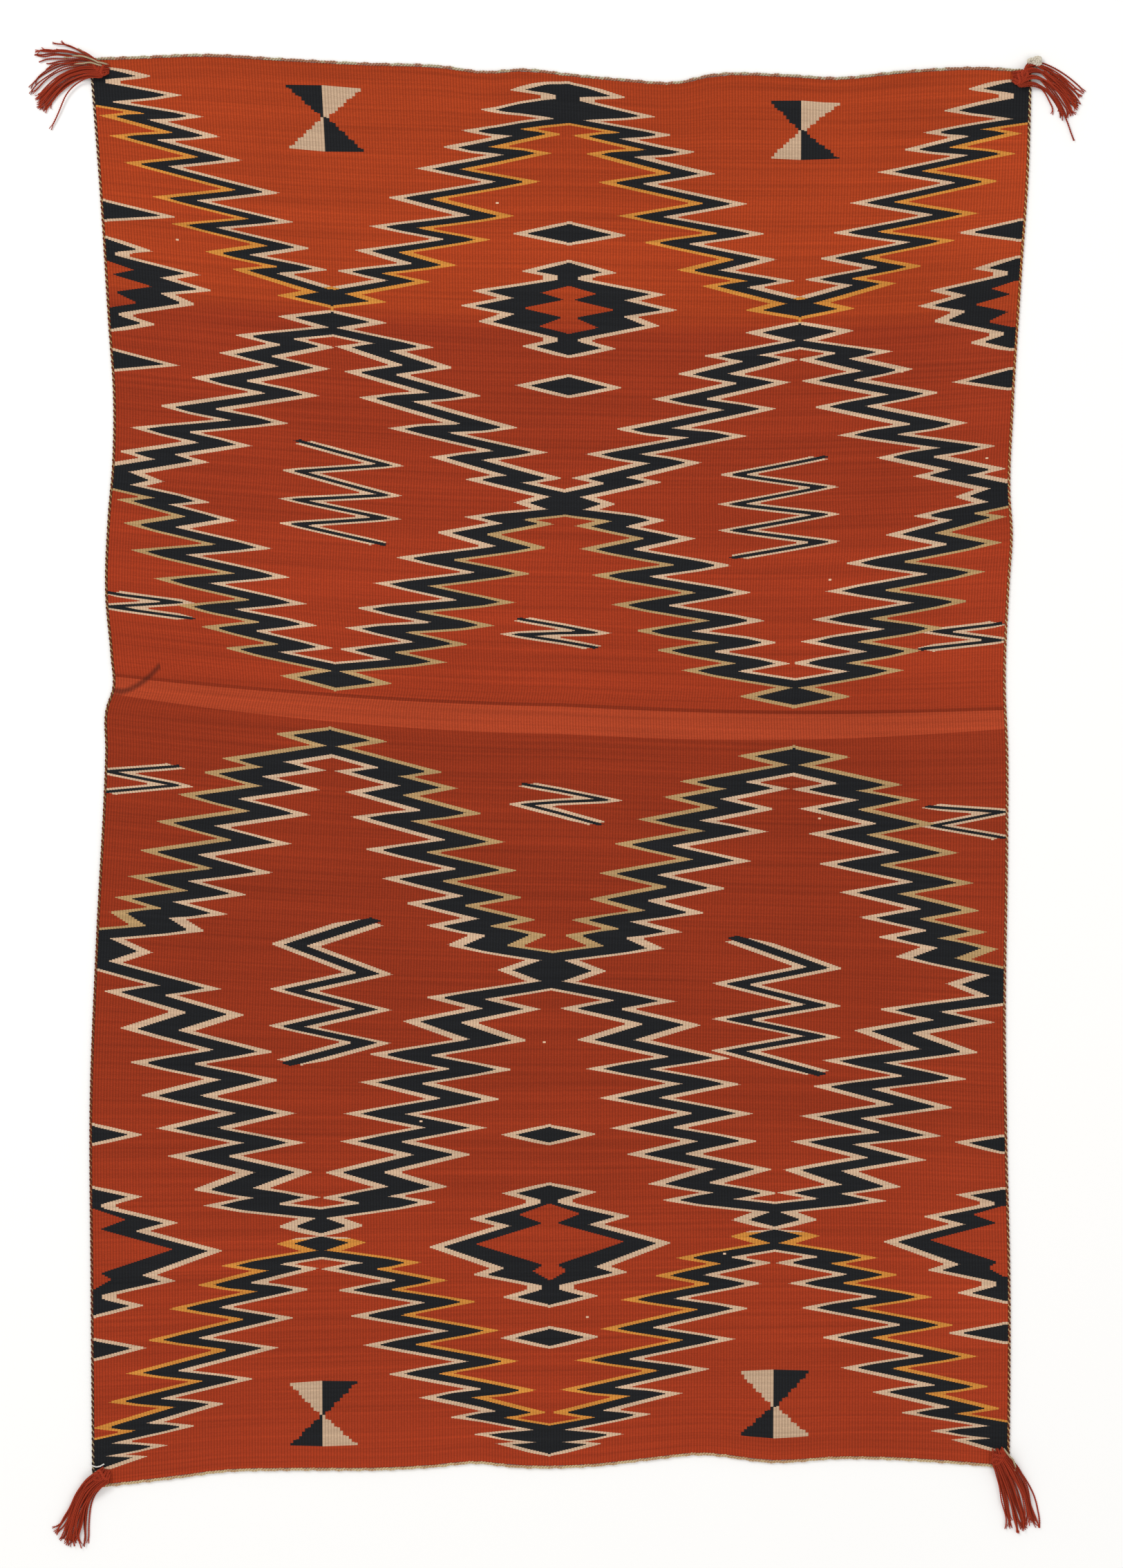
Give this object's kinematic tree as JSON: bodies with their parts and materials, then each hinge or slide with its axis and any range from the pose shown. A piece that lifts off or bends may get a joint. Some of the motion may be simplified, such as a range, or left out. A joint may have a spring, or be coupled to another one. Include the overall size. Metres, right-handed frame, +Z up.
{
  "type": "woven wool blanket",
  "caption": "Tapestry-woven wool wearing blanket lying flat, red with serrate zigzag lattice and diamonds, with corded edges and a yarn tassel at each corner.",
  "frame": {"origin": "under the middle of the cloth, on the surface it lies on", "axes": "+Y along the warps, towards the end with the filled black triangles; +X across the width; +Z up, out of the shown face"},
  "size_m": [1.3732, 1.9636, 0.0139],
  "materials": {
    "field_wool": "red tapestry-woven handspun wool with black, cream and yellow outlined zigzags, matt",
    "end_cord_wool": "twined two-ply wool cord, pale grey-green and tan, matt",
    "side_cord_wool": "twisted two-ply wool cord, dark and tan plies, matt",
    "tassel_wool": "loose two-ply red wool yarn, matt"
  },
  "bodies": {
    "root": {"woven_field": "field_wool", "end_cord_top": "end_cord_wool", "end_cord_bottom": "end_cord_wool", "side_cord_left": "side_cord_wool", "side_cord_right": "side_cord_wool", "tassel_top_left": "tassel_wool", "tassel_top_right": "tassel_wool", "tassel_bottom_left": "tassel_wool", "tassel_bottom_right": "tassel_wool"}
  },
  "joints": []
}
